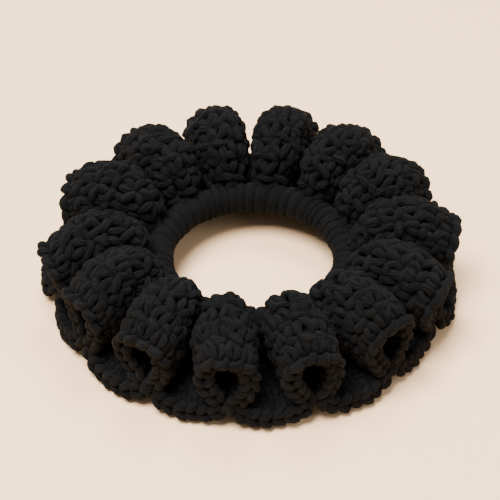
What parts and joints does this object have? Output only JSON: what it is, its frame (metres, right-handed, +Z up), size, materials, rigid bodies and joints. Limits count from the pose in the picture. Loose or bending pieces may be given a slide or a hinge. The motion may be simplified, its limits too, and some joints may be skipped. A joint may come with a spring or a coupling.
{
  "type": "scrunchie",
  "caption": "Crocheted ruffled hair scrunchie: a round hair elastic wrapped in yarn, with a ruffle of crochet rounds folded up and down all round it.",
  "frame": {"origin": "on the surface that the scrunchie lies on, under the centre of the hair opening", "axes": "+Z up, out of the hair opening; +X to the right, the way the two halves are pulled apart; -Y to the front"},
  "size_m": [0.1336, 0.1322, 0.0348],
  "materials": {
    "rubber_strand": "matt natural rubber",
    "elastic_cover": "fine black braid",
    "ferrule_metal": "plain crimped metal",
    "yarn_tail": "soft matt black yarn",
    "foundation_yarn": "soft matt black yarn, wrapped",
    "ruffle_yarn": "soft matt black yarn, crocheted",
    "edge_yarn": "soft matt black yarn, crocheted"
  },
  "bodies": {
    "left_half": {"rubber_strands": "rubber_strand", "braided_cover": "elastic_cover", "crimp_ferrule": "ferrule_metal", "yarn_tail_left": "yarn_tail", "foundation_round_left": "foundation_yarn", "ruffle_round_1_left": "ruffle_yarn", "ruffle_round_2_left": "ruffle_yarn", "ruffle_round_3_left": "ruffle_yarn", "ruffle_round_4_left": "ruffle_yarn", "ruffle_round_5_left": "ruffle_yarn", "ruffle_round_6_left": "ruffle_yarn", "edge_round_left": "edge_yarn"},
    "right_half": {"yarn_tail_right": "yarn_tail", "foundation_round_right": "foundation_yarn", "ruffle_round_1_right": "ruffle_yarn", "ruffle_round_2_right": "ruffle_yarn", "ruffle_round_3_right": "ruffle_yarn", "ruffle_round_4_right": "ruffle_yarn", "ruffle_round_5_right": "ruffle_yarn", "ruffle_round_6_right": "ruffle_yarn", "edge_round_right": "edge_yarn"}
  },
  "joints": [
    {"name": "stretch", "type": "slide", "parent": "left_half", "child": "right_half", "axis": [1, 0, 0], "range_m": [0, 0.05], "stiffness_N_per_m": 120, "deforming": ["rubber_strands", "braided_cover"]}
  ]
}
